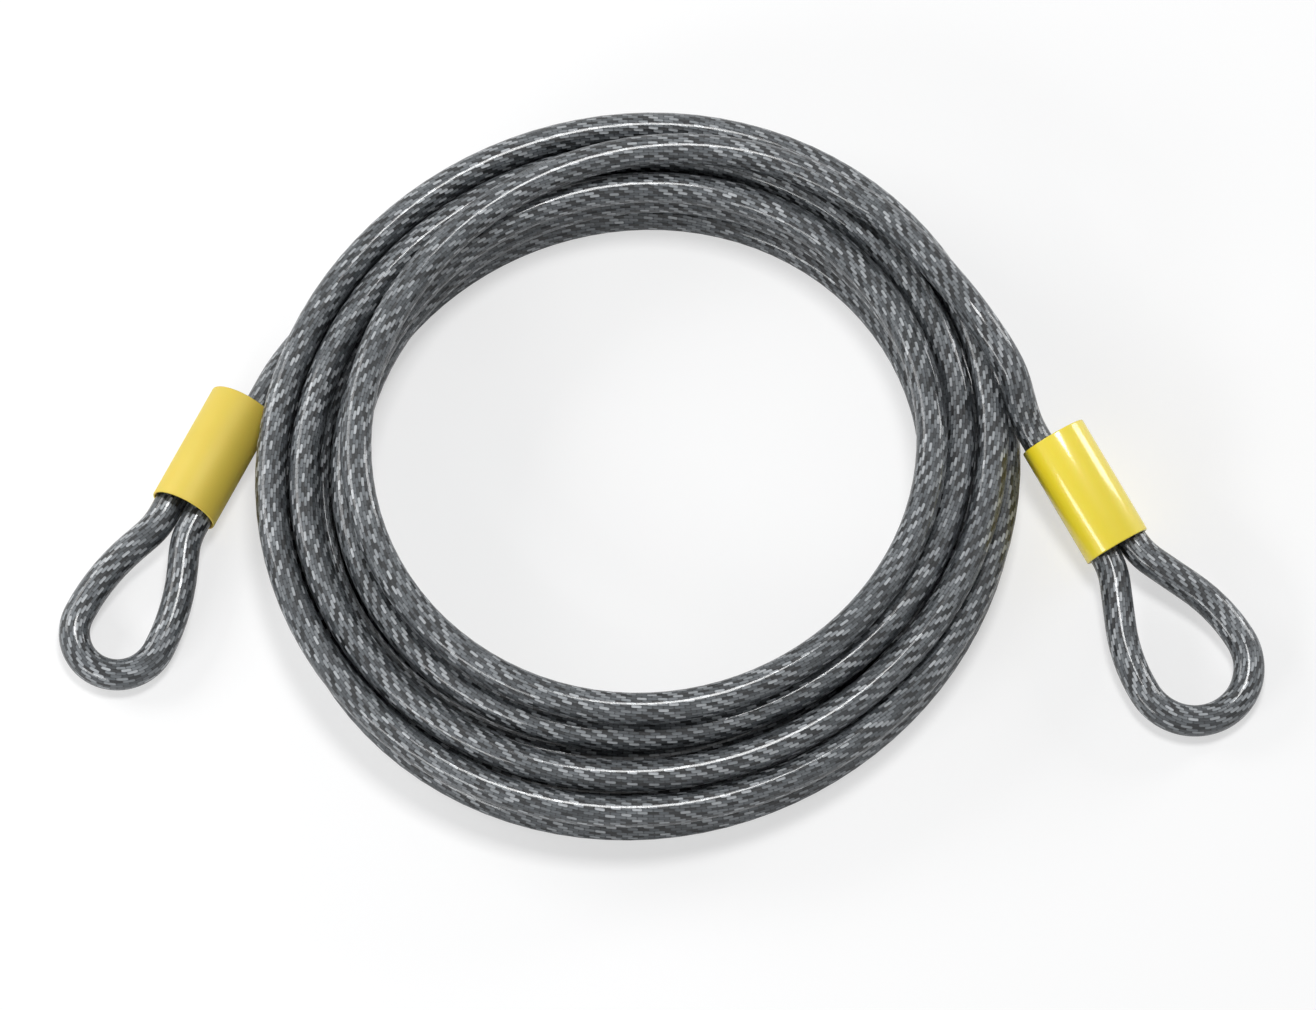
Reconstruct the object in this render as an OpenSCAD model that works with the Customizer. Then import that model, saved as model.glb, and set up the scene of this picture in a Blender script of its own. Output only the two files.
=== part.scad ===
// Cable lock: a long steel wire rope in a clear vinyl jacket, wound into a flat-lying coil,
// with an eye at each end that a crimped ferrule closes inside a yellow sleeve.
// Millimetres, +Z up. The floor is z = 0 and the origin is under the middle of the whole lock.

/* [Cable] */
// Outside diameter of the vinyl jacket
cable_d = 10; // [9:0.5:11]
// Diameter of the wire rope inside the jacket
rope_d = 6.5; // [6:0.25:7]
// Gap all round between the rope and the jacket or ferrule that holds it
rope_gap = 0.05; // [0.03:0.01:0.1]

/* [Coil] */
// Inside diameter of the bottom layer of turns
coil_inner_d = 172; // [160:2:220]
// Gap between neighbouring turns and between layers
turn_gap = 0.65; // [0.65:0.05:0.9]
// Whole turns between the two leads
whole_turns = 9; // [9:1:10]
// Turns in each full layer before the spiral reverses
layer_turns = 2.8; // [2.7:0.05:2.9]
// Compass angle where the bottom turn begins
start_angle = 145; // [140:1:150]
// Compass angle where the top turn ends
end_angle = 55; // [50:1:60]
// How much longer than round the coil is, on the radius
oval = 2.8; // [0:0.1:3]
// Compass angle of the coil's longer axis
oval_angle = 43; // [20:1:45]

/* [Ferrules] */
// Length of the crimped ferrule
ferrule_l = 25; // [20:1:27]
// Wall of the ferrule round each rope
ferrule_wall = 1.3; // [1:0.1:1.5]
// Crimped bands pressed into each flat side of the ferrule
crimp_bands = 3; // [2:1:4]
// Depth of each crimped band
crimp_depth = 0.4; // [0.2:0.1:0.6]

/* [Sleeves] */
// Length of the yellow sleeve
sleeve_l = 41; // [38:1:50]
// Wall of the sleeve
sleeve_wall = 0.8; // [0.7:0.1:1.2]
// Gap between the sleeve and the jackets in it
sleeve_gap = 0.2; // [0.1:0.05:0.4]

/* [Eyes] */
// Length of the left eye outside its sleeve
left_eye_l = 64; // [60:1:80]
// Outside width of the left eye
left_eye_w = 38.5; // [36:0.5:44]
// Straight stretch in each leg of the left eye
left_leg_l = 6; // [4:1:10]
// How far the left eye's legs stay side by side outside the sleeve
left_run_out = 3.5; // [0:0.5:5]
// Length of the right eye outside its sleeve
right_eye_l = 68.5; // [65:0.5:85]
// Outside width of the right eye
right_eye_w = 46; // [42:0.5:50]
// Straight stretch in each leg of the right eye
right_leg_l = 14; // [8:1:18]
// How far the right eye's legs stay side by side outside the sleeve
right_run_out = 0; // [0:0.5:5]

/* [Lie] */
// Compass angle of the left sleeve's far end, seen from the coil's middle
left_place = 168; // [165:0.2:170]
// Room between the coil's outermost turn and the left sleeve's far end
left_room = -6.4; // [-6.4:0.2:20]
// Compass heading of the left sleeve, towards its eye
left_heading = 243.5; // [238:0.5:245]
// Fall of the left sleeve towards its eye
left_fall = 0; // [-2:0.5:0]
// Fall of the left eye towards its tip
left_eye_fall = 6; // [6:0.5:8]
// Compass angle of the right sleeve's far end, seen from the coil's middle
right_place = 5; // [3:0.2:6]
// Room between the coil's outermost turn and the right sleeve's far end
right_room = -3.6; // [-3.6:0.2:20]
// Compass heading of the right sleeve, towards its eye
right_heading = -59; // [-62:0.5:-56]
// Fall of the right sleeve towards its eye
right_fall = 13; // [11:0.5:14]
// Fall of the right eye towards its tip
right_eye_fall = 7; // [7:0.5:8]

/* [Hidden] */

// Where the coil's middle lies, so that the whole lock is centred on the origin
coil_place = [-7.29, -2.37, 0];
cable_r = cable_d / 2;
rope_r = rope_d / 2;
bore_r = rope_r + rope_gap;
// The turns lie on a flat a tenth of the cable's diameter deep
flat_cut = cable_d / 10;

// Counts of rings and sides
coil_rings = 24;
coil_sides = 6;
lead_steps = 3;
lead_sides = 8;
nod_steps = 2;
bend_steps = 3;
tip_steps = 8;
eye_sides = 12;
round_fn = 48;

// Layers of turns, and where the middle of each layer lies against the bottom one
pitch = cable_d + turn_gap;
layer_shift = [[0, 0], [-1.2, 4.2], [0.8, 4.4], [6.8, 7.7]];
// Turns by which each shift comes after the middle of its climb
shift_delay = [0, -0.2, 0.1, 0.12];
last_layer = len(layer_shift) - 1;
// How far the loop below the top one leans in towards it, and the turns before the last climb at
// which that begins, is reached, eases off and ends
loop_lean = 3;
lean_turns = [0.95, 0.73, 0.55, 0.3];
coil_turns = whole_turns + (start_angle - end_angle) / 360;
coil_inner_r = coil_inner_d / 2 + cable_r;
coil_outer_r = coil_inner_r + pitch * layer_turns;
// Half the stretch of a turn in which a layer climbs or the spiral reverses
climb_turns = 0.25;
reverse_turns = 0.125;

// Ferrule and sleeve. The ropes lie as far apart in the ferrule as the jackets need beside it.
leg_gap = 0.1;
leg_offset = cable_r + leg_gap / 2;
ferrule_half_w = leg_offset + rope_r + ferrule_wall;
ferrule_half_h = rope_r + ferrule_wall;
crimp_w = 3;
sleeve_r = leg_offset + cable_r + sleeve_gap + sleeve_wall;
// Places along the sleeve's axis, from its far end: the ferrule's far and near faces
ferrule_far = 2;
ferrule_near = ferrule_far + ferrule_l;
// How far the rope's cut end stands out of the ferrule
dead_end = 1.5;
// Radius of the legs' upward or downward bend, and of their parting
nod_r = 40;
fork_r = 24;

// The free stretches between coil and sleeve, by hand. Each point is the share of the straight
// way, the shift to its left and the height above the floor, all of the cable's middle.
left_route = [[0.33, -1.4, 5.3], [0.66, -1.4, 8.2]];
right_route = [[0.2, 3.5, 38.1], [0.4, 4.2, 41], [0.6, 4.2, 41.3], [0.8, 3.6, 36]];
// Straight stretch of lead in front of each ferrule
entry_l = 6;

// ---- vectors and curves ----

function unit(v) = v / norm(v);
function sum(list, i = 0) = i == len(list) - 1 ? list[i] : list[i] + sum(list, i + 1);
function smooth(t) = t <= 0 ? 0 : t >= 1 ? 1 : t * t * (3 - 2 * t);
function heading(a) = [cos(a), sin(a), 0];
function on_floor(p) = [p.x, p.y, max(p.z, 0)];

// Curve through a list of points from one direction into another, each span cut in n steps
function span(p, q, r, s, t) =
    0.5 * (2 * q + (r - p) * t + (2 * p - 5 * q + 4 * r - s) * t * t + (3 * q - p - 3 * r + s) * t * t * t);
function curve(pts, from_dir, to_dir, n) = let (
        last = len(pts) - 1,
        before = pts[1] - 2 * norm(pts[1] - pts[0]) * from_dir,
        after = pts[last - 1] + 2 * norm(pts[last] - pts[last - 1]) * to_dir,
        all = concat([before], pts, [after])
    ) concat(
        [for (i = [0:last - 1]) for (k = [0:n - 1]) span(all[i], all[i + 1], all[i + 2], all[i + 3], k / n)],
        [pts[last]]
    );

// ---- the coil's centreline ----

function nearest_reversal(u) = min(max(round(u / layer_turns), 0), last_layer);
// Turns away from the nearest reversal, rounded off where the spiral turns back
function from_reversal(u) = let (
        m = nearest_reversal(u),
        x = abs(u - m * layer_turns)
    ) m == 0 || x > reverse_turns ? x : (x * x / reverse_turns + reverse_turns) / 2;
function climbed(u, m) = smooth((u - m * layer_turns) / (2 * climb_turns) + 0.5);
function layer_at(u) = sum([for (m = [1:last_layer]) climbed(u, m)]);
function coil_radius(u) = nearest_reversal(u) % 2 == 0
    ? coil_outer_r - pitch * from_reversal(u)
    : coil_inner_r + pitch * from_reversal(u);
function lean_at(u) = let (x = last_layer * layer_turns - u, t = lean_turns)
    loop_lean * smooth((t[0] - x) / (t[0] - t[1])) * smooth((x - t[3]) / (t[2] - t[3]));
function shift_at(u) = layer_shift[0] + sum([
        for (m = [1:last_layer]) climbed(u - shift_delay[m], m) * (layer_shift[m] - layer_shift[m - 1])
    ]);
function coil_point(u) = let (
        a = start_angle - 360 * u,
        shift = shift_at(u),
        r = coil_radius(u) - lean_at(u) + oval * cos(2 * (a - oval_angle))
    ) coil_place + [shift.x + r * cos(a), shift.y + r * sin(a), cable_r - flat_cut + pitch * layer_at(u)];

coil_steps = ceil(coil_turns * coil_rings);
coil_wound = [for (i = [0:coil_steps]) coil_point(coil_turns * i / coil_steps)];
small_turn = 0.001;
start_dir = unit(coil_point(0) - coil_point(small_turn));
end_dir = unit(coil_point(coil_turns) - coil_point(coil_turns - small_turn));
coil_path = concat(
    [coil_wound[0] + cable_d * start_dir],
    coil_wound,
    [coil_wound[coil_steps] + cable_d * end_dir]
);
coil_last = len(coil_path) - 1;

// ---- the two ends: [place, room, heading, fall, eye's fall, side of the lead, eye length,
//      eye width, straight stretch of a leg, run out] ----

left_end = [left_place, left_room, left_heading, left_fall, left_eye_fall, 1,
    left_eye_l, left_eye_w, left_leg_l, left_run_out];
right_end = [right_place, right_room, right_heading, right_fall, right_eye_fall, -1,
    right_eye_l, right_eye_w, right_leg_l, right_run_out];

function end_heading(e) = e[2];
function end_fall(e) = e[3];
function eye_fall(e) = e[4];
function end_nod(e) = eye_fall(e) - end_fall(e);
function end_side(e) = e[5];
function tip_r(e) = e[7] / 2 - cable_r;
// Along the sleeve's axis: where the legs part. Along the eye's, from there: where the tip begins.
function eye_x(e) = sleeve_l + e[9];
function tip_x(e) = e[6] - e[9] - cable_r - tip_r(e);
function nod_x(e) = nod_r * sin(abs(end_nod(e)));
function nod_z(e) = -sign(end_nod(e)) * nod_r * (1 - cos(end_nod(e)));
// A leg parts on one arc, runs straight and comes back to the tip on a wide one
function fork_rise(e) = leg_offset + fork_r - tip_r(e);
function curve_r(e) = let (x = tip_x(e), y = fork_rise(e))
    (x * x + y * y - fork_r * fork_r - e[8] * e[8]) / (2 * (tip_r(e) - leg_offset));
function leg_angle(e) = let (x = tip_x(e), y = fork_rise(e) + curve_r(e))
    asin((fork_r + curve_r(e)) / norm([x, y])) - atan2(y, x);

// Height of the sleeve's far end, at which the eye's tip or the sleeve touches the floor
function tip_drop(e) = eye_x(e) * sin(end_fall(e)) - nod_z(e) * cos(end_fall(e))
    + (tip_x(e) + tip_r(e)) * sin(eye_fall(e));
function lift(e) = max(
    cable_r + tip_drop(e),
    sleeve_r,
    sleeve_r * cos(end_fall(e)) + sleeve_l * sin(end_fall(e))
);
function end_place(e) = coil_place + [0, 0, lift(e)]
    + (coil_outer_r + cable_r + sleeve_r + e[1]) * heading(e[0]);
function end_axis(e) = cos(end_fall(e)) * heading(end_heading(e)) - [0, 0, sin(end_fall(e))];
function end_left(e) = heading(end_heading(e) + 90);
function at_sleeve(e, p) =
    end_place(e) + p.x * end_axis(e) + p.y * end_left(e) + p.z * cross(end_axis(e), end_left(e));
function entry_point(e, back) = at_sleeve(e, [ferrule_far - back, end_side(e) * leg_offset, 0]);

// ---- the eyes: straights and arcs, side is 1 on the left leg and -1 on the right one ----

function eye_axis(e) =
    cos(eye_fall(e)) * heading(end_heading(e)) - [0, 0, sin(eye_fall(e))];
function in_eye(e, side, p) =
    at_sleeve(e, [eye_x(e), 0, nod_z(e)]) + p.x * eye_axis(e) + side * p.y * end_left(e);
function nod_points(e, side) = [for (k = [0:nod_steps]) let (t = end_nod(e) * k / nod_steps)
    at_sleeve(e, [
        eye_x(e) - nod_x(e) + nod_r * sin(abs(t)),
        side * leg_offset,
        -sign(t) * nod_r * (1 - cos(t))
    ])];
function fork_points(e, side) = [for (k = [1:bend_steps]) let (t = leg_angle(e) * k / bend_steps)
    in_eye(e, side, [fork_r * sin(t), leg_offset + fork_r * (1 - cos(t))])];
function curve_points(e, side) = [for (k = [bend_steps:-1:0]) let (t = leg_angle(e) * k / bend_steps)
    in_eye(e, side, [tip_x(e) - curve_r(e) * sin(t), tip_r(e) - curve_r(e) * (1 - cos(t))])];
function tip_points(e, side) = [for (k = [1:tip_steps]) let (t = 90 * k / tip_steps)
    in_eye(e, side, [tip_x(e) + tip_r(e) * sin(t), tip_r(e) * cos(t)])];
function half_eye(e, side) = concat(
    [at_sleeve(e, [ferrule_near, side * leg_offset, 0])],
    nod_points(e, side),
    fork_points(e, side),
    curve_points(e, side),
    tip_points(e, side)
);
function back(list, skip) = [for (i = [len(list) - 1 - skip:-1:0]) list[i]];
function eye_loop(e) = concat(half_eye(e, 1), back(half_eye(e, -1), 1));
// Where the eye's rope ends: at the lead on its side, and a little out of the ferrule on the other
function rope_end(e, side) =
    at_sleeve(e, [ferrule_far - (side == end_side(e) ? 0 : dead_end), side * leg_offset, 0]);
function eye_rope_path(e) = concat([rope_end(e, 1)], eye_loop(e), [rope_end(e, -1)]);

// ---- the free stretches ----

function route_point(from, to, p) = let (
        way = [to.x - from.x, to.y - from.y, 0],
        left = [-way.y, way.x, 0] / norm(way)
    ) [from.x, from.y, 0] + p[0] * way + p[1] * left + [0, 0, p[2]];
function lead_path(from, from_dir, e, route) = let (
        to = entry_point(e, entry_l),
        pts = concat([from], [for (p = route) route_point(from, to, p)], [to])
    ) concat(curve(pts, from_dir, end_axis(e), lead_steps), [entry_point(e, 0)]);
left_lead = lead_path(coil_path[0], start_dir, left_end, left_route);
right_lead = lead_path(coil_path[coil_last], end_dir, right_end, right_route);

// ---- swept tubes of flat faces ----

function path_dir(path, i) = let (last = len(path) - 1)
    unit(path[min(i + 1, last)] - path[max(i - 1, 0)]);
function ring(c, dir, r, sides) = let (
        across = unit(cross(dir, [0, 0, 1])),
        up = cross(across, dir)
    ) [for (k = [0:sides - 1]) let (a = 270 + (k + 0.5) * 360 / sides)
        on_floor(c + r * (cos(a) * across + sin(a) * up))];
function rings(path, first, last_dir, r, sides) = [for (i = [0:len(path) - 1]) each ring(
        path[i],
        i == 0 ? first : i == len(path) - 1 ? last_dir : path_dir(path, i),
        r,
        sides
    )];
// Side faces of one skin of a tube, of m rings from point number p0
function skin(m, sides, p0, outward) = [for (i = [0:m - 2]) for (k = [0:sides - 1]) let (
        a = p0 + i * sides + k,
        b = p0 + i * sides + (k + 1) % sides,
        c = a + sides,
        d = b + sides
    ) each outward ? [[a, b, d], [a, d, c]] : [[a, d, b], [a, c, d]]];
// Ring-shaped end face between an outer ring and an inner one
function end_ring(outer, inner, sides, first) = [for (k = [0:sides - 1]) let (
        j = (k + 1) % sides
    ) each first
        ? [[outer + k, inner + k, outer + j], [outer + j, inner + k, inner + j]]
        : [[outer + k, outer + j, inner + k], [outer + j, inner + j, inner + k]]];
function end_disc(p0, sides, first) = [for (k = [1:sides - 2])
        first ? [p0, p0 + k + 1, p0 + k] : [p0, p0 + k, p0 + k + 1]];

module swept_rope(path, first, last_dir, sides) {
    m = len(path);
    polyhedron(
        rings(path, first, last_dir, rope_r, sides),
        concat(
            skin(m, sides, 0, true),
            end_disc(0, sides, true),
            end_disc((m - 1) * sides, sides, false)
        )
    );
}

module swept_jacket(path, first, last_dir, sides) {
    m = len(path);
    inner = m * sides;
    polyhedron(
        concat(
            rings(path, first, last_dir, cable_r, sides),
            rings(path, first, last_dir, bore_r, sides)
        ),
        concat(
            skin(m, sides, 0, true),
            skin(m, sides, inner, false),
            end_ring(0, inner, sides, true),
            end_ring((m - 1) * sides, inner + (m - 1) * sides, sides, false)
        )
    );
}

// ---- the sub-parts ----

module coil_jacket() {
    color([0.55, 0.58, 0.62, 0.6])
        swept_jacket(coil_path, -start_dir, end_dir, coil_sides);
}

module coil_rope() {
    color([0.42, 0.44, 0.47])
        swept_rope(coil_path, -start_dir, end_dir, coil_sides);
}

module lead_jacket(path, first, e) {
    color([0.55, 0.58, 0.62, 0.6])
        swept_jacket(path, first, end_axis(e), lead_sides);
}

module lead_rope(path, first, e) {
    color([0.42, 0.44, 0.47])
        swept_rope(path, first, end_axis(e), lead_sides);
}

module eye_jacket(e) {
    color([0.55, 0.58, 0.62, 0.6])
        swept_jacket(eye_loop(e), end_axis(e), -end_axis(e), eye_sides);
}

module eye_rope(e) {
    color([0.42, 0.44, 0.47])
        swept_rope(eye_rope_path(e), end_axis(e), -end_axis(e), eye_sides);
}

// Puts a piece of one end, drawn along +X from the sleeve's far end, in its place
module at_end(e) {
    translate(end_place(e)) rotate([0, end_fall(e), end_heading(e)]) children();
}

// Double-barrelled crimp over the standing rope and the dead end
module ferrule(e) {
    band_step = ferrule_l / crimp_bands;
    color("gainsboro") at_end(e) translate([ferrule_far, 0, 0]) difference() {
        rotate([90, 0, 90]) linear_extrude(ferrule_l) {
            square([2 * (ferrule_half_w - ferrule_half_h), 2 * ferrule_half_h], center = true);
            for (side = [-1, 1])
                translate([side * (ferrule_half_w - ferrule_half_h), 0])
                    circle(ferrule_half_h, $fn = round_fn);
        }
        for (side = [-1, 1]) {
            translate([-1, side * leg_offset, 0]) rotate([0, 90, 0])
                cylinder(h = ferrule_l + 2, r = bore_r, $fn = round_fn);
            for (i = [0:crimp_bands - 1])
                translate([
                    band_step * (i + 0.5),
                    0,
                    side * (ferrule_half_h - crimp_depth / 2 + 0.5)
                ])
                    cube([crimp_w, 2 * (ferrule_half_w - ferrule_half_h), crimp_depth + 1], center = true);
        }
    }
}

// Plain sleeve with broken edges
module sleeve(e) {
    rim = sleeve_wall / 3;
    color("gold") at_end(e) rotate([0, 90, 0]) difference() {
        union() {
            cylinder(h = rim, r1 = sleeve_r - rim, r2 = sleeve_r, $fn = round_fn);
            translate([0, 0, rim]) cylinder(h = sleeve_l - 2 * rim, r = sleeve_r, $fn = round_fn);
            translate([0, 0, sleeve_l - rim])
                cylinder(h = rim, r1 = sleeve_r, r2 = sleeve_r - rim, $fn = round_fn);
        }
        translate([0, 0, -1]) cylinder(h = sleeve_l + 2, r = sleeve_r - sleeve_wall, $fn = round_fn);
    }
}

coil_jacket();
coil_rope();
lead_jacket(left_lead, start_dir, left_end);  // left_lead_jacket
lead_rope(left_lead, start_dir, left_end);  // left_lead_rope
lead_jacket(right_lead, end_dir, right_end);  // right_lead_jacket
lead_rope(right_lead, end_dir, right_end);  // right_lead_rope
eye_jacket(left_end);  // left_eye_jacket
eye_rope(left_end);  // left_eye_rope
eye_jacket(right_end);  // right_eye_jacket
eye_rope(right_end);  // right_eye_rope
ferrule(left_end);  // left_ferrule
ferrule(right_end);  // right_ferrule
sleeve(left_end);  // left_sleeve
sleeve(right_end);  // right_sleeve

// ---- measured on the points ----

cable_path = concat(
    [for (i = [len(left_lead) - 1:-1:1]) left_lead[i]],
    coil_path,
    [for (i = [1:len(right_lead) - 1]) right_lead[i]]
);
// Distance from a point to a stretch between two others
function to_stretch(p, a, b) = let (
        t = min(max((p - a) * (b - a) / ((b - a) * (b - a)), 0), 1)
    ) norm(p - a - t * (b - a));
cable_last = len(cable_path) - 1;
near_rings = 12;
self_gap = min([for (i = [0:cable_last]) for (j = [i + near_rings:1:cable_last - 1])
        to_stretch(cable_path[i], cable_path[j], cable_path[j + 1])]) - cable_d;
function path_l(path) = sum([for (i = [1:len(path) - 1]) norm(path[i] - path[i - 1])]);
echo(least_gap_of_the_cable_to_itself = self_gap);
echo(coil_length = path_l(coil_path), left_lead = path_l(left_lead), right_lead = path_l(right_lead));
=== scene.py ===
"""The looks of a coiled cable lock: a braided steel rope in a clear vinyl jacket, wound into a flat
coil, with a crimped eye and a yellow sleeve at each end. Lengths are in millimetres until a mesh is
made, and the sizes of the first section are those of the part's source."""

import math

import bmesh
import bpy
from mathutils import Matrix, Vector


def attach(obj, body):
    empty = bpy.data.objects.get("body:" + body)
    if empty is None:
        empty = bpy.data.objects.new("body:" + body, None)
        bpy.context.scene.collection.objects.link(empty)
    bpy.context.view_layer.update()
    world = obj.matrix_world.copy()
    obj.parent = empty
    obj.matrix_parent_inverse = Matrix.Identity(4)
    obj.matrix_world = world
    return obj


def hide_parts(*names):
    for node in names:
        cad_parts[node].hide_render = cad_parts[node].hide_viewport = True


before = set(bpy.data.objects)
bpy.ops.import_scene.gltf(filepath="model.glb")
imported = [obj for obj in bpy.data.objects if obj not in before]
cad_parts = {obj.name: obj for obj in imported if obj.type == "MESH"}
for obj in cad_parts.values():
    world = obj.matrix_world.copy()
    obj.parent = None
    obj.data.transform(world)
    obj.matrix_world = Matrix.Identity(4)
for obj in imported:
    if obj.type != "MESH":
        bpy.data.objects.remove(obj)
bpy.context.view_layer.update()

# ---- sizes, as in the part's source ----

MM = 0.001
CABLE_R = 5.0
ROPE_R = 3.25

INNER_R = 91.0
TURN_GAP = 0.65
PITCH = 2 * CABLE_R + TURN_GAP
LAYER_TURNS = 2.8
COIL_TURNS = 9.25
START_ANGLE = 145.0
OVAL = 2.8
OVAL_ANGLE = 43.0
FLAT_CUT = 1.0
CLIMB_TURNS = 0.25
REVERSE_TURNS = 0.125
LAYER_SHIFT = [Vector((0, 0)), Vector((-1.2, 4.2)), Vector((0.8, 4.4)), Vector((6.8, 7.7))]
SHIFT_DELAY = [0, -0.2, 0.1, 0.12]
LAST_LAYER = len(LAYER_SHIFT) - 1
LOOP_LEAN = 3.0
LEAN_TURNS = (0.95, 0.73, 0.55, 0.3)
COIL_PLACE = Vector((-7.29, -2.37, 0))
OUTER_R = INNER_R + PITCH * LAYER_TURNS

LEG_GAP = 0.1
LEG_OFFSET = CABLE_R + LEG_GAP / 2
FERRULE_L = 25.0
FERRULE_FAR = 2.0
FERRULE_NEAR = FERRULE_FAR + FERRULE_L
DEAD_END = 1.5
NOD_R = 40.0
FORK_R = 24.0
SLEEVE_L = 41.0
SLEEVE_WALL = 0.8
SLEEVE_GAP = 0.2
SLEEVE_R = LEG_OFFSET + CABLE_R + SLEEVE_GAP + SLEEVE_WALL
ENTRY_L = 6.0

# The free stretches, as in the part's source: share of the straight way, shift to the left, height
LEFT_ROUTE = [(0.33, -1.4, 5.3), (0.66, -1.4, 8.2)]
RIGHT_ROUTE = [(0.2, 3.5, 38.1), (0.4, 4.2, 41), (0.6, 4.2, 41.3), (0.8, 3.6, 36)]

# ---- the photograph's view ----

PHOTO_W = 1316
PIXELS_PER_MM = 3.10
VIEW_ELEVATION = 68.0
VIEW_DISTANCE = 2200.0
VIEW_TARGET = COIL_PLACE + Vector((6.32, -3.17, 0))
SENSOR_W = 36.0

# ---- how finely the meshes are made ----

RINGS_PER_TURN = 96
CABLE_SIDES = 24
ROUTE_STEPS = 10
ARC_STEP = 4.0
LATHE_SIDES = 96
LIP_STEPS = 6

# ---- the strips that the baked picture cuts each tube into, and the share kept free at their sides ----

CABLE_STRIPS = 14
EYE_STRIPS = 3
STRIP_MARGIN = 0.06

# ---- the braid, along and round the cable ----

BRAID_ROWS = 34
BRAID_PITCH = 3.3
BRAID_LAY = 400.0
BUNDLE_WIRES = 4
WIRE_RELIEF = 0.05
# share of a bundle's painted lightness that is the painted sheen on every second bundle
LEAN_SHEEN_SHARE = 0.36

# How steeply a bundle falls away at its ends and its sides, and how far, for its relief and for the
# painted shade in the dips
END_POWER = 6
END_DROP = 0.7
SIDE_POWER = 3
SIDE_DROP = 0.6


def heading(angle):
    return Vector((math.cos(math.radians(angle)), math.sin(math.radians(angle)), 0))


def smooth(t):
    t = min(max(t, 0), 1)
    return t * t * (3 - 2 * t)


# ---- the camera ----


def add_camera():
    up = math.radians(VIEW_ELEVATION)
    data = bpy.data.cameras.new("camera")
    data.sensor_width = SENSOR_W
    data.lens = SENSOR_W * PIXELS_PER_MM * VIEW_DISTANCE / PHOTO_W
    data.clip_start = 0.05
    data.clip_end = 50
    camera = bpy.data.objects.new("camera", data)
    camera.location = (VIEW_TARGET + VIEW_DISTANCE * Vector((0, -math.cos(up), math.sin(up)))) * MM
    camera.rotation_euler = (math.pi / 2 - up, 0, 0)
    bpy.context.scene.collection.objects.link(camera)
    bpy.context.scene.camera = camera


# ---- the coil's centreline ----


def climbed(turns, layer):
    """How much of the climb into a layer is done, from 0 to 1."""
    return smooth((turns - layer * LAYER_TURNS) / (2 * CLIMB_TURNS) + 0.5)


def coil_radius(turns):
    """The spiral runs in and out by turns, and is rounded off where it reverses."""
    reversal = min(max(round(turns / LAYER_TURNS), 0), LAST_LAYER)
    away = abs(turns - reversal * LAYER_TURNS)
    if reversal > 0 and away < REVERSE_TURNS:
        away = (away * away / REVERSE_TURNS + REVERSE_TURNS) / 2
    return OUTER_R - PITCH * away if reversal % 2 == 0 else INNER_R + PITCH * away


def lean_at(turns):
    """How far the loop below the top one leans in, by the turns left before the last climb."""
    to_go = LAST_LAYER * LAYER_TURNS - turns
    begin, reached, easing, end = LEAN_TURNS
    leaning = smooth((begin - to_go) / (begin - reached))
    return LOOP_LEAN * leaning * smooth((to_go - end) / (easing - end))


def coil_point(turns):
    angle = START_ANGLE - 360 * turns
    layers = range(1, LAST_LAYER + 1)
    shift = LAYER_SHIFT[0].copy()
    for layer in layers:
        step = LAYER_SHIFT[layer] - LAYER_SHIFT[layer - 1]
        shift += climbed(turns - SHIFT_DELAY[layer], layer) * step
    radius = coil_radius(turns) - lean_at(turns) + OVAL * math.cos(math.radians(2 * (angle - OVAL_ANGLE)))
    height = CABLE_R - FLAT_CUT + PITCH * sum(climbed(turns, layer) for layer in layers)
    return COIL_PLACE + shift.to_3d() + radius * heading(angle) + Vector((0, 0, height))


# ---- the two ends ----


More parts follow.
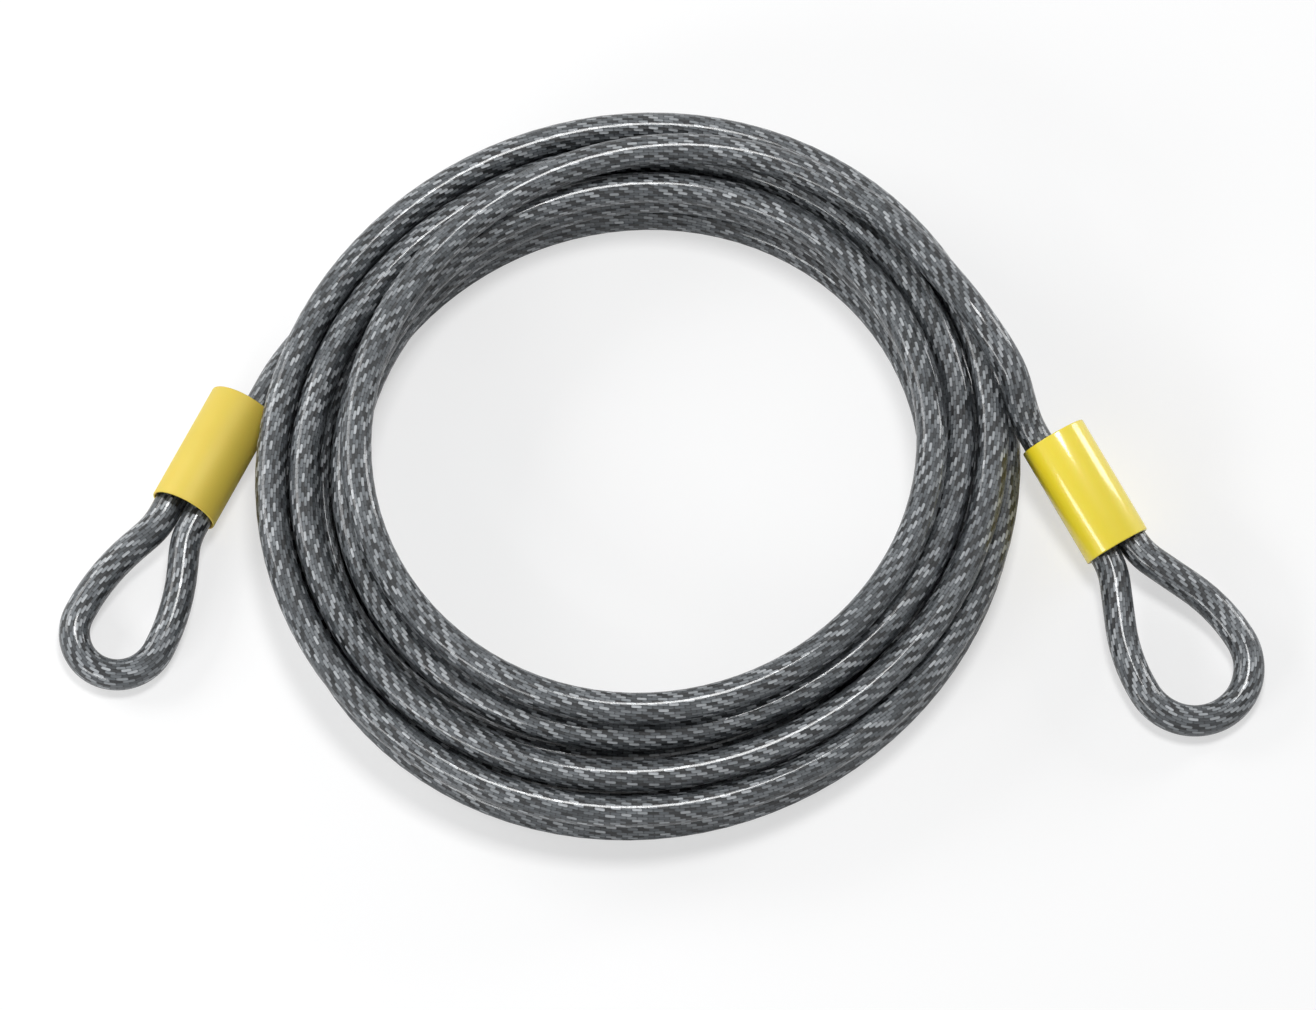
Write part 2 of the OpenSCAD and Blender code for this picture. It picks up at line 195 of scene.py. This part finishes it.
class End:
    """One sleeve with its ferrule and eye. side is 1 where the lead is to the left of the axis."""

    def __init__(self, name, place, room, head, fall, eye_fall, side, eye_l, eye_w, leg_l, run_out):
        self.name = name
        self.side = side
        self.nod = math.radians(eye_fall - fall)
        fall, tilt = math.radians(fall), math.radians(eye_fall)
        self.left = heading(head + 90)
        self.axis = math.cos(fall) * heading(head) - Vector((0, 0, math.sin(fall)))
        self.eye_axis = math.cos(tilt) * heading(head) - Vector((0, 0, math.sin(tilt)))
        self.tip_r = eye_w / 2 - CABLE_R
        self.eye_x = SLEEVE_L + run_out
        self.tip_x = eye_l - run_out - CABLE_R - self.tip_r
        rise = LEG_OFFSET + FORK_R - self.tip_r
        square = self.tip_x**2 + rise**2 - FORK_R**2 - leg_l**2
        self.curve_r = square / (2 * (self.tip_r - LEG_OFFSET))
        reach = math.hypot(self.tip_x, rise + self.curve_r)
        self.leg = math.asin((FORK_R + self.curve_r) / reach) - math.atan2(rise + self.curve_r, self.tip_x)
        nod_z = -math.copysign(NOD_R * (1 - math.cos(self.nod)), self.nod)
        drop = self.eye_x * math.sin(fall) - nod_z * math.cos(fall)
        drop += (self.tip_x + self.tip_r) * math.sin(tilt)
        lift = max(CABLE_R + drop, SLEEVE_R, SLEEVE_R * math.cos(fall) + SLEEVE_L * math.sin(fall))
        out = OUTER_R + CABLE_R + SLEEVE_R + room
        self.place = COIL_PLACE + out * heading(place) + Vector((0, 0, lift))
        self.eye_start = self.at_sleeve(self.eye_x, 0, nod_z)

    def at_sleeve(self, x, y, z):
        return self.place + x * self.axis + y * self.left + z * self.axis.cross(self.left)

    def entry(self, back):
        return self.at_sleeve(FERRULE_FAR - back, self.side * LEG_OFFSET, 0)

    def in_eye(self, side, x, y):
        return self.eye_start + x * self.eye_axis + side * y * self.left

    def half_eye(self, side):
        """One leg of the eye and its half of the tip, from the ferrule."""
        straight = (FERRULE_NEAR, FERRULE_NEAR + ARC_STEP)
        points = [self.at_sleeve(x, side * LEG_OFFSET, 0) for x in straight]
        nod = abs(self.nod)
        for t in arc_angles(nod, NOD_R):
            x = self.eye_x - NOD_R * (math.sin(nod) - math.sin(t))
            z = -math.copysign(NOD_R * (1 - math.cos(t)), self.nod)
            points.append(self.at_sleeve(x, side * LEG_OFFSET, z))
        for t in arc_angles(self.leg, FORK_R)[1:]:
            y = LEG_OFFSET + FORK_R * (1 - math.cos(t))
            points.append(self.in_eye(side, FORK_R * math.sin(t), y))
        for t in arc_angles(self.leg, self.curve_r)[::-1]:
            x = self.tip_x - self.curve_r * math.sin(t)
            points.append(self.in_eye(side, x, self.tip_r - self.curve_r * (1 - math.cos(t))))
        for t in arc_angles(math.pi / 2, self.tip_r)[1:]:
            x = self.tip_x + self.tip_r * math.sin(t)
            points.append(self.in_eye(side, x, self.tip_r * math.cos(t)))
        return points

    def eye(self):
        return self.half_eye(1) + self.half_eye(-1)[-2::-1]

    def bare_rope(self, side):
        """The rope through the ferrule and a little into both jackets, or cut off behind the ferrule."""
        stops = (FERRULE_FAR - DEAD_END, FERRULE_NEAR / 2, FERRULE_NEAR + DEAD_END)
        return [self.at_sleeve(x, side * LEG_OFFSET, 0) for x in stops]


def arc_angles(angle, radius):
    steps = max(2, math.ceil(angle * radius / ARC_STEP), math.ceil(math.degrees(angle) / ARC_STEP))
    return [angle * k / steps for k in range(steps + 1)]


LEFT = End(
    "left",
    place=168,
    room=-6.4,
    head=243.5,
    fall=0,
    eye_fall=6,
    side=1,
    eye_l=64,
    eye_w=38.5,
    leg_l=6,
    run_out=3.5,
)
RIGHT = End(
    "right",
    place=5,
    room=-3.6,
    head=-59,
    fall=13,
    eye_fall=7,
    side=-1,
    eye_l=68.5,
    eye_w=46,
    leg_l=14,
    run_out=0,
)
ENDS = (LEFT, RIGHT)


# ---- the cable's whole route, from the left ferrule to the right one ----


def curve(points, from_dir, to_dir):
    """A smooth curve through the points, from one direction into another."""
    before = points[1] - 2 * (points[1] - points[0]).length * from_dir
    after = points[-2] + 2 * (points[-1] - points[-2]).length * to_dir
    p = [before, *points, after]
    out = []
    for a, b, c, d in zip(p, p[1:], p[2:], p[3:]):
        for k in range(ROUTE_STEPS):
            t = k / ROUTE_STEPS
            square = (2 * a - 5 * b + 4 * c - d) * t * t
            out.append(0.5 * (2 * b + (c - a) * t + square + (3 * b - a - 3 * c + d) * t**3))
    return out + [points[-1]]


def lead(start, start_dir, end, route):
    to = end.entry(ENTRY_L)
    way = (to - start).to_2d().to_3d()
    left = Vector((-way.y, way.x, 0)).normalized()
    ground = Vector((start.x, start.y, 0))
    points = [ground + share * way + shift * left + Vector((0, 0, z)) for share, shift, z in route]
    return curve([start, *points, to], start_dir, end.axis) + [end.entry(ENTRY_L / 2), end.entry(0)]


def cable_route():
    count = math.ceil(COIL_TURNS * RINGS_PER_TURN)
    wound = [coil_point(COIL_TURNS * k / count) for k in range(count + 1)]
    small = 0.001
    start_dir = (wound[0] - coil_point(small)).normalized()
    end_dir = (wound[-1] - coil_point(COIL_TURNS - small)).normalized()
    start = wound[0] + 2 * CABLE_R * start_dir
    finish = wound[-1] + 2 * CABLE_R * end_dir
    to_left = lead(start, start_dir, LEFT, LEFT_ROUTE)
    to_right = lead(finish, end_dir, RIGHT, RIGHT_ROUTE)
    return to_left[::-1] + wound + to_right


# ---- meshes ----


def new_object(name, bm):
    mesh = bpy.data.meshes.new(name)
    bm.normal_update()
    bm.to_mesh(mesh)
    bm.free()
    mesh.shade_smooth()
    obj = bpy.data.objects.new(name, mesh)
    bpy.context.scene.collection.objects.link(obj)
    return obj


def lengths_along(points):
    along = [0.0]
    for a, b in zip(points, points[1:]):
        along.append(along[-1] + (b - a).length)
    return along


def add_tube(bm, points, radius, strips=1):
    """Sweeps a round tube along the points, with flat ends, flattened where it meets the floor.

    Its UVs are the braid's, in metres along and turns around, and those of the baked picture, where
    the tube is cut into strips that lie side by side."""
    braid = bm.loops.layers.uv.get("braid") or bm.loops.layers.uv.new("braid")
    baked = bm.loops.layers.uv.get("OFBake") or bm.loops.layers.uv.new("OFBake")
    along = lengths_along(points)
    rings = []
    for i, point in enumerate(points):
        forward = (points[min(i + 1, len(points) - 1)] - points[max(i - 1, 0)]).normalized()
        across = forward.cross(Vector((0, 0, 1))).normalized()
        up = across.cross(forward)
        ring = []
        for k in range(CABLE_SIDES):
            a = 2 * math.pi * k / CABLE_SIDES
            p = point + radius * (math.cos(a) * across + math.sin(a) * up)
            p.z = max(p.z, 0)
            ring.append(bm.verts.new(p * MM))
        rings.append(ring)
    per_strip = (len(points) - 1) / strips
    for i in range(len(points) - 1):
        strip = int((i + 0.5) / per_strip)
        low = (i - strip * per_strip) / per_strip
        high = (i + 1 - strip * per_strip) / per_strip
        for k in range(CABLE_SIDES):
            j = (k + 1) % CABLE_SIDES
            face = bm.faces.new((rings[i][k], rings[i][j], rings[i + 1][j], rings[i + 1][k]))
            corners = ((i, k, low), (i, k + 1, low), (i + 1, k + 1, high), (i + 1, k, high))
            for loop, (ring, side, v) in zip(face.loops, corners):
                turn = side / CABLE_SIDES
                loop[braid].uv = (along[ring] * MM, turn)
                u = (strip + STRIP_MARGIN + (1 - 2 * STRIP_MARGIN) * turn) / strips
                loop[baked].uv = (u, min(max(v, 0), 1))
    bm.faces.new(rings[0][::-1])
    bm.faces.new(rings[-1])


def add_lathe(bm, profile, place, axis, left):
    """Turns a closed outline of (distance along, radius) round an axis."""
    up = axis.cross(left)
    rings = []
    for k in range(LATHE_SIDES):
        a = 2 * math.pi * k / LATHE_SIDES
        out = math.cos(a) * left + math.sin(a) * up
        rings.append([bm.verts.new((place + x * axis + r * out) * MM) for x, r in profile])
    for k in range(LATHE_SIDES):
        a, b = rings[k], rings[(k + 1) % LATHE_SIDES]
        for i in range(len(profile)):
            j = (i + 1) % len(profile)
            bm.faces.new((a[i], b[i], b[j], a[j]))


# ---- the pieces ----


def make_cable():
    route = cable_route()
    bm = bmesh.new()
    add_tube(bm, route, CABLE_R, strips=CABLE_STRIPS)
    cable = new_object("cable", bm)
    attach(cable, "root")
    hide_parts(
        "coil_jacket",
        "coil_rope",
        "left_lead_jacket",
        "left_lead_rope",
        "right_lead_jacket",
        "right_lead_rope",
    )
    return cable


def make_eye(end):
    loop = end.eye()
    bm = bmesh.new()
    add_tube(bm, loop, CABLE_R, strips=EYE_STRIPS)
    eye = new_object(end.name + "_eye", bm)
    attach(eye, "root")
    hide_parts(end.name + "_eye_jacket")
    return eye


def make_bare_rope(end):
    bm = bmesh.new()
    for side in (1, -1):
        add_tube(bm, end.bare_rope(side), ROPE_R)
    rope = new_object(end.name + "_bare_rope", bm)
    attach(rope, "root")
    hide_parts(end.name + "_eye_rope")
    return rope


def make_sleeve(end):
    """A straight tube with rounded lips."""
    lip = SLEEVE_WALL / 2
    profile = []
    for x, turn in ((SLEEVE_L - lip, 90), (lip, 270)):
        for k in range(LIP_STEPS + 1):
            a = math.radians(turn - 180 * k / LIP_STEPS)
            profile.append((x + lip * math.cos(a), SLEEVE_R - lip + lip * math.sin(a)))
    bm = bmesh.new()
    add_lathe(bm, profile, end.place, end.axis, end.left)
    sleeve = new_object(end.name + "_sleeve_shell", bm)
    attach(sleeve, "root")
    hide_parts(end.name + "_sleeve")
    return sleeve


# ---- materials ----


class Nodes:
    """A short way to write a material's nodes."""

    def __init__(self, name):
        self.material = bpy.data.materials.new(name)
        self.material.use_nodes = True
        self.tree = self.material.node_tree
        self.shader = self.tree.nodes["Principled BSDF"]

    def add(self, kind, **inputs):
        node = self.tree.nodes.new("ShaderNode" + kind)
        for key, value in inputs.items():
            socket = node.inputs[key.replace("_", " ")]
            self.put(socket, value)
        return node

    def put(self, socket, value):
        if isinstance(value, bpy.types.NodeSocket):
            self.tree.links.new(value, socket)
        else:
            socket.default_value = value

    def math(self, operation, a, b=None, c=None):
        node = self.tree.nodes.new("ShaderNodeMath")
        node.operation = operation
        for socket, value in zip(node.inputs, (a, b, c)):
            if value is not None:
                self.put(socket, value)
        return node.outputs[0]

    def set(self, **inputs):
        for key, value in inputs.items():
            self.put(self.shader.inputs[key.replace("_", " ")], value)

    def ramp(self, fac, stops):
        node = self.tree.nodes.new("ShaderNodeValToRGB")
        elements = node.color_ramp.elements
        while len(elements) < len(stops):
            elements.new(0.5)
        for element, (at, colour) in zip(elements, stops):
            element.position = at
            element.color = (*colour, 1)
        self.put(node.inputs["Fac"], fac)
        return node.outputs["Color"]

    def mix(self, blend, fac, a, b):
        node = self.tree.nodes.new("ShaderNodeMix")
        node.data_type = "RGBA"
        node.blend_type = blend
        for socket, value in ((node.inputs[0], fac), (node.inputs[6], a), (node.inputs[7], b)):
            self.put(socket, value)
        return node.outputs[2]


def braid_pattern(n):
    """Short bundles of wire in rows along the cable, each row half a bundle on: the height of the
    bundles, the height of the single wires, and how light each bundle is painted. Every second bundle
    of a row is painted lighter, a painted sheen for braid strands leaning to and fro, and chance adds
    random tone and painted glints."""
    uv = n.add("UVMap")
    uv.uv_map = "braid"
    place = n.add("SeparateXYZ", Vector=uv.outputs["UV"])
    along = n.math("DIVIDE", place.outputs["X"], BRAID_PITCH * MM)
    turn = n.math("MULTIPLY_ADD", along, BRAID_PITCH / BRAID_LAY, place.outputs["Y"])
    y = n.math("MULTIPLY", turn, BRAID_ROWS)
    row = n.math("FLOORED_MODULO", n.math("FLOOR", y), BRAID_ROWS)
    x = n.math("MULTIPLY_ADD", row, 0.5, along)
    dx = n.math("SUBTRACT", n.math("FRACT", x), 0.5)
    dy = n.math("SUBTRACT", n.math("FRACT", y), 0.5)
    ends = n.math("POWER", n.math("ABSOLUTE", n.math("MULTIPLY", dx, 2)), END_POWER)
    sides = n.math("POWER", n.math("ABSOLUTE", n.math("MULTIPLY", dy, 2)), SIDE_POWER)
    end_drop = n.math("MULTIPLY", ends, END_DROP)
    side_drop = n.math("MULTIPLY", sides, SIDE_DROP)
    height = n.math("SUBTRACT", 1, n.math("ADD", end_drop, side_drop))
    wires = n.math("COSINE", n.math("MULTIPLY", dy, 2 * math.pi * BUNDLE_WIRES))
    bundle = n.math("FLOOR", x)
    cell = n.add("CombineXYZ", X=bundle, Y=row)
    noise = n.add("TexWhiteNoise", Vector=cell.outputs["Vector"])
    # painted sheen: every second bundle of a row is lighter, for strands leaning the other way to the
    # light
    sheen_parity = n.math("FLOORED_MODULO", bundle, 2)
    chance = n.math("MULTIPLY", noise.outputs["Value"], 1 - LEAN_SHEEN_SHARE)
    light = n.math("MULTIPLY_ADD", sheen_parity, LEAN_SHEEN_SHARE, chance)
    return height, wires, light


def braid_material(name, coated):
    n = Nodes(name)
    height, wires, light = braid_pattern(n)
    # the steel's colour by how light each bundle is painted: painted sheen, random tone and painted glints
    steel = n.ramp(
        light,
        [
            (0.0, (0.006, 0.007, 0.008)),
            (0.22, (0.017, 0.019, 0.021)),
            (0.5, (0.080, 0.089, 0.097)),
            (0.75, (0.185, 0.199, 0.210)),
            (1.0, (0.350, 0.367, 0.382)),
        ],
    )
    # painted shade: darker where the bundles dip at their ends and sides, between their neighbours
    crevice_shade = n.ramp(height, [(0.25, (0.16, 0.16, 0.17)), (0.75, (1, 1, 1))])
    relief = n.math("MULTIPLY_ADD", wires, WIRE_RELIEF, height)
    bump = n.add("Bump", Strength=0.6, Distance=0.0003, Height=relief)
    rough = n.math("MULTIPLY_ADD", light, 0.15, 0.40)
    # the steel's colour times the painted shade in the dips
    colour = n.mix("MULTIPLY", 1.0, steel, crevice_shade)
    n.set(Base_Color=colour, Roughness=rough, Metallic=0.3, Normal=bump.outputs["Normal"])
    n.set(Specular_IOR_Level=0.3)
    if coated:
        n.set(Coat_Weight=0.6, Coat_Roughness=0.115, Coat_IOR=1.5)
    return n.material


def yellow_material(name, colour, shade, roughness, coat):
    n = Nodes(name)
    place = n.add("TexCoord").outputs["Object"]
    cloud = n.add("TexNoise", Vector=place, Scale=60.0, Detail=3.0)
    grain = n.add("TexNoise", Vector=place, Scale=1400.0, Detail=2.0)
    fac = n.math("MULTIPLY", cloud.outputs["Fac"], 0.6)
    tint = n.mix("MIX", fac, (*colour, 1), (*shade, 1))
    bump = n.add("Bump", Strength=0.25, Distance=0.0001, Height=grain.outputs["Fac"])
    rough = n.math("MULTIPLY_ADD", cloud.outputs["Fac"], 0.12, roughness)
    n.set(Base_Color=tint, Roughness=rough, Normal=bump.outputs["Normal"])
    n.set(Coat_Weight=coat, Coat_Roughness=0.14)
    n.set(Subsurface_Weight=0.08, Subsurface_Scale=0.002)
    return n.material


def aluminium_material():
    n = Nodes("crimp")
    place = n.add("TexCoord").outputs["Object"]
    scratch = n.add("TexNoise", Vector=place, Scale=900.0, Detail=4.0)
    tint = n.ramp(scratch.outputs["Fac"], [(0.3, (0.55, 0.56, 0.58)), (0.7, (0.80, 0.81, 0.82))])
    bump = n.add("Bump", Strength=0.3, Distance=0.0001, Height=scratch.outputs["Fac"])
    n.set(Base_Color=tint, Metallic=1.0, Roughness=0.35, Normal=bump.outputs["Normal"])
    return n.material


def floor_material():
    """Nearly white, and lifted where the camera sees it, so that the shadows stay soft and the far
    parts, which the lamps don't reach, are as white as the rest."""
    n = Nodes("floor")
    place = n.add("TexCoord").outputs["Object"]
    cloud = n.add("TexNoise", Vector=place, Scale=2.0)
    tint = n.ramp(cloud.outputs["Fac"], [(0.3, (0.96, 0.96, 0.96)), (0.7, (0.98, 0.98, 0.98))])
    n.set(Base_Color=tint, Roughness=0.9, Specular_IOR_Level=0.1)
    glow = n.add("Emission", Color=(1, 1, 1, 1), Strength=1.0)
    away = n.add("VectorMath", Vector=place)
    away.operation = "LENGTH"
    lift = n.add("MapRange", From_Min=0.2, From_Max=1.2, To_Min=0.55, To_Max=1.0)
    n.put(lift.inputs["Value"], away.outputs["Value"])
    share = n.math("MULTIPLY", n.add("LightPath").outputs["Is Camera Ray"], lift.outputs["Result"])
    mix = n.add("MixShader", Fac=share)
    n.put(mix.inputs[1], n.shader.outputs["BSDF"])
    n.put(mix.inputs[2], glow.outputs["Emission"])
    n.put(n.tree.nodes["Material Output"].inputs["Surface"], mix.outputs["Shader"])
    return n.material


# ---- the studio ----


def add_floor():
    size = 3.0
    bm = bmesh.new()
    bmesh.ops.create_grid(bm, x_segments=1, y_segments=1, size=size)
    floor = new_object("floor", bm)
    floor.data.materials.append(floor_material())


def add_lamp(name, aim, distance, size, radiance):
    """A soft box that the object sees in the direction aim, at a plain brightness of its face."""
    data = bpy.data.lights.new(name, "AREA")
    data.shape = "RECTANGLE"
    data.size, data.size_y = size
    data.energy = radiance * 4 * size[0] * size[1]
    lamp = bpy.data.objects.new(name, data)
    aim = Vector(aim).normalized()
    lamp.location = aim * distance
    lamp.rotation_euler = aim.to_track_quat("Z", "Y").to_euler()
    bpy.context.scene.collection.objects.link(lamp)


def add_world():
    """White where it is looked at, reflected or seen through a clear piece, and a low light on the
    rest."""
    world = bpy.data.worlds.new("studio")
    world.use_nodes = True
    bpy.context.scene.world = world
    nodes, links = world.node_tree.nodes, world.node_tree.links
    seen = nodes.new("ShaderNodeBackground")
    seen.inputs["Color"].default_value = (1, 1, 1, 1)
    path = nodes.new("ShaderNodeLightPath")
    plain = path.outputs["Is Camera Ray"]
    for ray in ("Is Glossy Ray", "Is Transmission Ray"):
        either = nodes.new("ShaderNodeMath")
        either.operation = "MAXIMUM"
        links.new(plain, either.inputs[0])
        links.new(path.outputs[ray], either.inputs[1])
        plain = either.outputs[0]
    lit = nodes["Background"]
    lit.inputs["Color"].default_value = (0.93, 0.96, 1.0, 1)
    lit.inputs["Strength"].default_value = 0.15
    mix = nodes.new("ShaderNodeMixShader")
    links.new(plain, mix.inputs["Fac"])
    links.new(lit.outputs["Background"], mix.inputs[1])
    links.new(seen.outputs["Background"], mix.inputs[2])
    links.new(mix.outputs["Shader"], nodes["World Output"].inputs["Surface"])


# ---- the scene ----

bpy.context.scene.view_settings.view_transform = "Standard"
add_camera()
cable = make_cable()
eyes = [make_eye(end) for end in ENDS]
ropes = [make_bare_rope(end) for end in ENDS]
sleeves = [make_sleeve(end) for end in ENDS]

jacketed = braid_material("jacketed_braid", True)
bare = braid_material("bare_braid", False)
satin_yellow = yellow_material(
    "satin_yellow",
    colour=(0.69, 0.53, 0.075),
    shade=(0.61, 0.45, 0.055),
    roughness=0.50,
    coat=0.0,
)
gloss_yellow = yellow_material(
    "gloss_yellow",
    colour=(0.86, 0.69, 0.015),
    shade=(0.80, 0.62, 0.011),
    roughness=0.40,
    coat=0.9,
)
for obj in (cable, *eyes):
    obj.data.materials.append(jacketed)
for obj in ropes:
    obj.data.materials.append(bare)
sleeves[0].data.materials.append(satin_yellow)
sleeves[1].data.materials.append(gloss_yellow)
crimp = aluminium_material()
for node in ("left_ferrule", "right_ferrule"):
    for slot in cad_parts[node].material_slots:
        slot.material = crimp

add_floor()
add_world()
add_lamp("overhead", aim=(0.06, 0.16, 0.98), distance=1.8, size=(0.42, 0.42), radiance=24)
add_lamp("right", aim=(0.80, 0.545, 0.24), distance=1.7, size=(0.45, 0.65), radiance=8)
add_lamp("left", aim=(-0.85, 0.36, 0.50), distance=0.95, size=(0.50, 0.30), radiance=6)
add_lamp("front", aim=(-0.60, -0.62, 0.42), distance=1.2, size=(0.60, 0.22), radiance=9)
